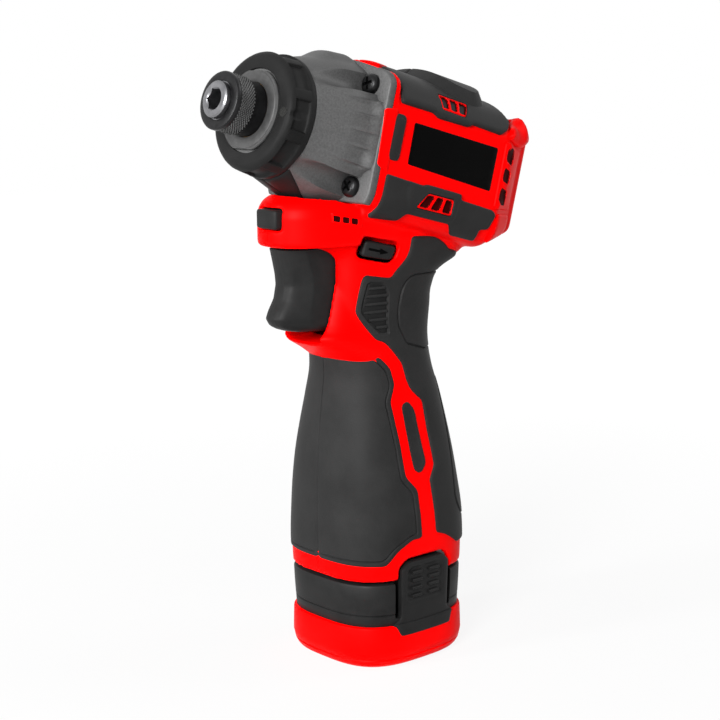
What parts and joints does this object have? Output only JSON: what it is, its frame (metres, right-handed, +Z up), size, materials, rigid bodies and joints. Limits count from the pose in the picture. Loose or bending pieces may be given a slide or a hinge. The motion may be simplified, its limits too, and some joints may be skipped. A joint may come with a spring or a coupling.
{
  "type": "impact driver",
  "caption": "Cordless impact driver with a tilted drive head, knurled quick-release bit holder, trigger, direction selector and a clip-in battery that forms the base of the handle.",
  "frame": {"origin": "centre of the battery's flat base, on the surface that the tool stands on", "axes": "+Z up, +X towards the nose, +Y towards the tool's left side; the drive axis tilts 16 degrees up towards +X"},
  "size_m": [0.1229, 0.0534, 0.2043],
  "materials": {
    "red_shell": "smooth moulded, glossy",
    "soft_grip": "soft matt overmould",
    "nose_rubber": "satin moulded rubber",
    "black_plastic": "moulded, satin",
    "plate_black": "plain gloss black, bare",
    "case_alloy": "die cast, grey coated",
    "ring_steel": "dark phosphated steel",
    "black_steel": "black oxide steel",
    "bright_steel": "ground and hardened",
    "spring_steel": "drawn wire",
    "lamination": "stacked sheet",
    "copper": "enamelled copper wire",
    "bronze": "sintered bronze",
    "board_green": "solder resist",
    "lens_clear": "clear moulded lens",
    "lens_dark": "tinted window",
    "cell_wrap": "shrink sleeve",
    "contact_brass": "plated contact"
  },
  "bodies": {
    "housing": {"housing_left": "red_shell", "housing_right": "red_shell", "front_grip_left": "soft_grip", "front_grip_right": "soft_grip", "rear_grip_left": "soft_grip", "rear_grip_right": "soft_grip", "head_bands_left": "soft_grip", "head_bands_right": "soft_grip", "side_pads": "black_plastic", "name_plates": "plate_black", "gear_case": "case_alloy", "nose_bumper": "nose_rubber", "nose_ring": "ring_steel", "case_screws": "black_steel", "housing_screws": "black_steel", "work_light_lens": "black_plastic", "work_light_board": "board_green", "ring_light_lenses": "lens_clear", "gauge_lenses": "lens_dark", "gauge_board": "board_green", "stator_core": "lamination", "stator_windings": "copper", "rear_motor_bearing": "bright_steel", "front_motor_bearing": "bright_steel", "motor_board": "board_green", "motor_plate": "case_alloy", "spindle_bearing": "bright_steel", "ring_gear": "bright_steel", "anvil_bush": "bronze", "thrust_washer": "bright_steel", "switch_module": "black_plastic", "controller_board": "board_green", "terminal_block": "black_plastic"},
    "rotor": {"rotor_core": "lamination", "rotor_shaft": "bright_steel", "fan": "black_plastic"},
    "spindle": {"spindle": "bright_steel", "planet_pins": "bright_steel", "cam_balls": "bright_steel", "impact_spring": "spring_steel"},
    "planet_a": {"planet_gear_a": "bright_steel"},
    "planet_b": {"planet_gear_b": "bright_steel"},
    "hammer": {"hammer": "bright_steel"},
    "anvil": {"anvil": "bright_steel", "detent_balls": "bright_steel", "sleeve_clip": "bright_steel", "sleeve_spring": "spring_steel"},
    "sleeve": {"bit_sleeve": "black_steel"},
    "trigger": {"trigger": "black_plastic", "switch_plunger": "black_plastic"},
    "selector": {"direction_selector": "black_plastic"},
    "battery": {"battery_shell": "black_plastic", "battery_cap": "red_shell", "cells": "cell_wrap", "battery_contacts": "contact_brass", "battery_screws": "black_steel"},
    "latch_left": {"latch_left": "black_plastic"},
    "latch_right": {"latch_right": "black_plastic"}
  },
  "joints": [
    {"name": "rotor_spin", "type": "hinge", "parent": "housing", "child": "rotor", "pos_m": [0.0022, 0, 0.1724], "axis": [0.9613, 0, 0.2756], "continuous": true},
    {"name": "spindle_spin", "type": "hinge", "parent": "housing", "child": "spindle", "pos_m": [0.0022, 0, 0.1724], "axis": [0.9613, 0, 0.2756], "continuous": true},
    {"name": "planet_a_spin", "type": "hinge", "parent": "spindle", "child": "planet_a", "pos_m": [0.0022, 0.01013, 0.1724], "axis": [0.9613, 0, 0.2756], "continuous": true},
    {"name": "planet_b_spin", "type": "hinge", "parent": "spindle", "child": "planet_b", "pos_m": [0.0022, -0.01013, 0.1724], "axis": [0.9613, 0, 0.2756], "continuous": true},
    {"name": "hammer_slide", "type": "slide", "parent": "spindle", "child": "hammer", "axis": [-0.9613, 0, -0.2756], "range_m": [0, 0.005], "stiffness_N_per_m": 4000, "springref_m": -0.003, "deforming": ["impact_spring"]},
    {"name": "anvil_spin", "type": "hinge", "parent": "housing", "child": "anvil", "pos_m": [0.0022, 0, 0.1724], "axis": [0.9613, 0, 0.2756], "continuous": true},
    {"name": "sleeve_slide", "type": "slide", "parent": "anvil", "child": "sleeve", "axis": [0.9613, 0, 0.2756], "range_m": [0, 0.004], "stiffness_N_per_m": 800, "springref_m": -0.003, "deforming": ["sleeve_spring"]},
    {"name": "trigger_pull", "type": "slide", "parent": "housing", "child": "trigger", "axis": [-1, 0, 0], "range_m": [0, 0.006], "stiffness_N_per_m": 900, "springref_m": -0.003},
    {"name": "direction_shift", "type": "slide", "parent": "housing", "child": "selector", "axis": [0, 1, 0], "range_m": [-0.0025, 0.0025]},
    {"name": "battery_slide", "type": "slide", "parent": "housing", "child": "battery", "axis": [0, 0, -1], "range_m": [0, 0.09]},
    {"name": "latch_left_press", "type": "hinge", "parent": "battery", "child": "latch_left", "pos_m": [0, 0.0232, 0.0125], "axis": [1, 0, 0], "range_deg": [0, 4], "stiffness_Nm_per_rad": 1.2, "springref_deg": -1.72},
    {"name": "latch_right_press", "type": "hinge", "parent": "battery", "child": "latch_right", "pos_m": [0, -0.0232, 0.0125], "axis": [-1, 0, 0], "range_deg": [0, 4], "stiffness_Nm_per_rad": 1.2, "springref_deg": -1.72}
  ],
  "couplings": [
    {"joint": "spindle_spin", "follows": "rotor_spin", "ratio": 0.16667},
    {"joint": "anvil_spin", "follows": "rotor_spin", "ratio": 0.16667},
    {"joint": "planet_a_spin", "follows": "rotor_spin", "ratio": -0.41667},
    {"joint": "planet_b_spin", "follows": "rotor_spin", "ratio": -0.41667}
  ]
}
